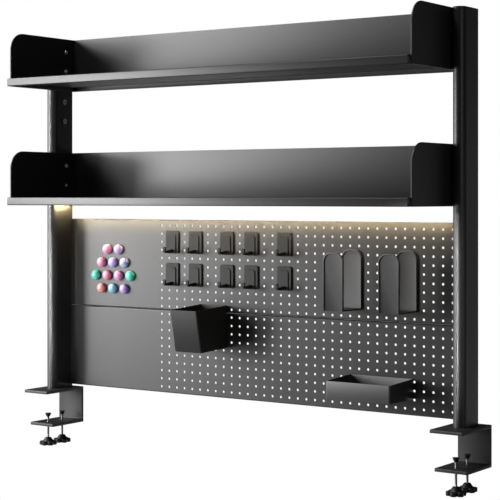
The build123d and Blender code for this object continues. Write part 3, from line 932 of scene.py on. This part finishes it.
SOFTBOXES = (
    Softbox("key_left", turn=52.0, level=0.5, watts=62.0),
    Softbox("tall_left", turn=66.0, level=0.9, watts=40.0, size=(0.65, 1.6)),
    Softbox("high_left", turn=66.0, level=2.1, watts=88.0),
    Softbox("overhead", turn=25.0, level=3.6, watts=60.0, distance=1.8, size=(1.0, 1.0)),
    Softbox("upper_front", turn=42.0, level=1.3, watts=20.0),
    Softbox("low_left", turn=56.0, level=-0.3, watts=12.0),
    Softbox("low_front", turn=36.0, level=-0.35, watts=3.0),
    Softbox("near_left", turn=45.0, level=0.5, watts=4.6, distance=1.35, size=(0.35, 1.6)),
    Softbox(
        "left_tube_edge",
        turn=13.0,
        level=0.56,
        watts=4.0,
        distance=1.1,
        size=(0.1, 0.9),
        aim=(-0.69, -0.07, 0.56),
        spread=10.0,
    ),
    Softbox(
        "left_tube_front",
        turn=-8.0,
        level=0.22,
        watts=1.2,
        distance=1.1,
        size=(0.14, 0.36),
        aim=(-0.69, -0.07, 0.22),
        spread=10.0,
    ),
    Softbox(
        "right_tube_edge",
        turn=20.0,
        level=0.25,
        watts=0.6,
        distance=1.1,
        size=(0.1, 0.36),
        aim=(0.66, -0.07, 0.25),
        spread=10.0,
    ),
    Softbox("rear_left", turn=140.0, level=-0.5, watts=2.4, size=(0.9, 0.4)),
    Softbox("rear", turn=-175.0, level=-0.5, watts=10.0, size=(1.4, 0.4)),
    Softbox("rear_right", turn=-135.0, level=-0.3, watts=1.0, size=(0.9, 0.8)),
    Softbox("side_right", turn=-90.0, level=-0.1, watts=2.0, size=(0.8, 0.8)),
    Softbox("screw_glint", turn=-62.0, level=0.9, watts=5.0, size=(0.4, 0.4)),
)


@dataclass
class Studio:
    """The camera, the lamps, the world and the floor."""

    camera_place: Triple = (2.0563, -2.9738, 0.4997)
    camera_turn: float = math.radians(34.8)
    lens_mm: float = 108.8
    sensor_mm: float = 36.0
    shift_up: float = -0.1065
    backdrop_near: float = 0.85
    backdrop_far: float = 0.25
    backdrop_rise: tuple[float, float] = (0.0, 0.1)
    backdrop_foot: tuple[float, float] = (-0.08, -0.02)
    room_level: float = 0.03
    ambient: float = 0.05
    floor_height: float = -0.75
    floor_radius: float = 1.7
    floor_sides: int = 96
    floor_roughness: float = 0.8
    floor_gloss: float = 0.2
    floor_greys: tuple[float, float] = (0.86, 0.9)
    floor_mottle_per_metre: float = 6.0
    floor_mottle_detail: float = 3.0
    floor_solid_share: float = 0.55
    sight: float = 50.0
    lamps: tuple[Softbox, ...] = SOFTBOXES

    def build(self) -> None:
        """Sets up everything round the object."""
        bpy.context.scene.view_settings.view_transform = "Standard"
        self.camera()
        for lamp in self.lamps:
            lamp.build()
        self.world()
        self.floor()

    def camera(self) -> None:
        """Places the level camera with the photograph's framing."""
        data = bpy.data.cameras.new("camera")
        data.lens = self.lens_mm
        data.sensor_width = self.sensor_mm
        data.shift_y = self.shift_up
        data.clip_end = self.sight
        camera = bpy.data.objects.new("camera", data)
        camera.location = self.camera_place
        camera.rotation_euler = (math.pi / 2, 0.0, self.camera_turn)
        bpy.context.scene.collection.objects.link(camera)
        bpy.context.scene.camera = camera

    @staticmethod
    def fade(
        tree: bpy.types.NodeTree,
        value: bpy.types.NodeSocket,
        dark: float,
        bright: float,
    ) -> bpy.types.NodeSocket:
        """A smooth step from nothing to all.

        Args:
            tree: The node tree it goes in.
            value: The value that it follows.
            dark: The value that gives nothing.
            bright: The value that gives all.

        Returns:
            The socket with the result.
        """
        node = tree.nodes.new("ShaderNodeMapRange")
        node.interpolation_type = "SMOOTHSTEP"
        node.inputs["From Min"].default_value = dark
        node.inputs["From Max"].default_value = bright
        tree.links.new(value, node.inputs["Value"])
        return node.outputs["Result"]

    def world(self) -> None:
        """A dim room whose wall behind the object is a low white backdrop."""
        world = bpy.data.worlds.new("room")
        world.use_nodes = True
        tree = world.node_tree
        tree.nodes.clear()
        output = tree.nodes.new("ShaderNodeOutputWorld")
        background = tree.nodes.new("ShaderNodeBackground")
        background.inputs["Color"].default_value = (1.0, 1.0, 1.0, 1.0)
        place = tree.nodes.new("ShaderNodeTexCoord")
        facing = tree.nodes.new("ShaderNodeVectorMath")
        facing.operation = "DOT_PRODUCT"
        facing.inputs[1].default_value = (-math.sin(self.camera_turn), math.cos(self.camera_turn), 0.0)
        tree.links.new(place.outputs["Generated"], facing.inputs[0])
        sideways = self.fade(tree, facing.outputs["Value"], self.backdrop_far, self.backdrop_near)
        axes = tree.nodes.new("ShaderNodeSeparateXYZ")
        tree.links.new(place.outputs["Generated"], axes.inputs["Vector"])
        low, high = self.backdrop_rise
        upwards = self.fade(tree, axes.outputs["Z"], high, low)
        low, high = self.backdrop_foot
        downwards = self.fade(tree, axes.outputs["Z"], low, high)
        height = maths(tree, "MULTIPLY", upwards, downwards)
        share = maths(tree, "MULTIPLY", sideways, height)
        wall = tree.nodes.new("ShaderNodeMapRange")
        wall.inputs["To Min"].default_value = self.room_level
        tree.links.new(share, wall.inputs["Value"])
        path = tree.nodes.new("ShaderNodeLightPath")
        glossy, through = path.outputs["Is Glossy Ray"], path.outputs["Is Transmission Ray"]
        mirrored = maths(tree, "MAXIMUM", glossy, through)
        room = tree.nodes.new("ShaderNodeMix")
        room.inputs["A"].default_value = self.ambient
        tree.links.new(mirrored, room.inputs["Factor"])
        tree.links.new(wall.outputs["Result"], room.inputs["B"])
        strength = tree.nodes.new("ShaderNodeMix")
        strength.inputs["B"].default_value = 1.0
        tree.links.new(path.outputs["Is Camera Ray"], strength.inputs["Factor"])
        tree.links.new(room.outputs["Result"], strength.inputs["A"])
        tree.links.new(strength.outputs["Result"], background.inputs["Strength"])
        tree.links.new(background.outputs["Background"], output.inputs["Surface"])
        bpy.context.scene.world = world

    def floor(self) -> None:
        """A pale round floor at a room's height below the desk, fading out at its rim."""
        mesh = bpy.data.meshes.new("floor")
        form = bmesh.new()
        bmesh.ops.create_circle(
            form,
            cap_ends=True,
            segments=self.floor_sides,
            radius=self.floor_radius,
        )
        form.to_mesh(mesh)
        form.free()
        floor = bpy.data.objects.new("floor", mesh)
        floor.location = (0.0, 0.0, self.floor_height)
        bpy.context.scene.collection.objects.link(floor)
        graph = Graph("pale_floor")
        graph.set(Roughness=self.floor_roughness, Specular_IOR_Level=self.floor_gloss)
        mottle = graph.noise(self.floor_mottle_per_metre, self.floor_mottle_detail)
        dark, light = self.floor_greys
        tint = graph.blend(mottle, "Fac", (dark,) * 3, (light,) * 3)
        graph.link(tint, "Color", graph.shader, "Base Color")
        length = graph.tree.nodes.new("ShaderNodeVectorMath")
        length.operation = "LENGTH"
        graph.tree.links.new(graph.place.outputs["Object"], length.inputs[0])
        fade = graph.tree.nodes.new("ShaderNodeMapRange")
        fade.interpolation_type = "SMOOTHSTEP"
        fade.inputs["From Min"].default_value = self.floor_solid_share * self.floor_radius
        fade.inputs["From Max"].default_value = self.floor_radius
        fade.inputs["To Min"].default_value = 1.0
        fade.inputs["To Max"].default_value = 0.0
        graph.tree.links.new(length.outputs["Value"], fade.inputs["Value"])
        graph.link(fade, "Result", graph.shader, "Alpha")
        mesh.materials.append(graph.material)


def main() -> None:
    """Builds and dresses every sub-assembly."""
    logging.basicConfig(level=logging.INFO, format="%(name)s: %(message)s")
    Studio().build()
    coat = POWDER_COAT.material()
    tube_coat = TUBE_COAT.material()
    plastic = MOULDED_BLACK.material()
    rubber = PAD_RUBBER.material()
    zinc = ZINC.material()
    spindle_steel = SPINDLE_STEEL.material()
    clamp_coat = CLAMP_COAT.material()
    for side in Side:
        DeskClamp(side).dress(clamp_coat, spindle_steel, plastic, rubber)
    Uprights().dress(tube_coat, plastic, zinc)
    for level in Level:
        Shelf(level).dress(coat)
        Pegboard(level).dress(coat)
    LightBar().dress(CHANNEL.material(), LAMP_STRIP.material(), DIFFUSER.material(), plastic)
    Accessories().dress(MOULDED_GREY.material(), MOULDED_DARK.material())
    Magnets().dress()


if __name__ == "__main__":
    main()
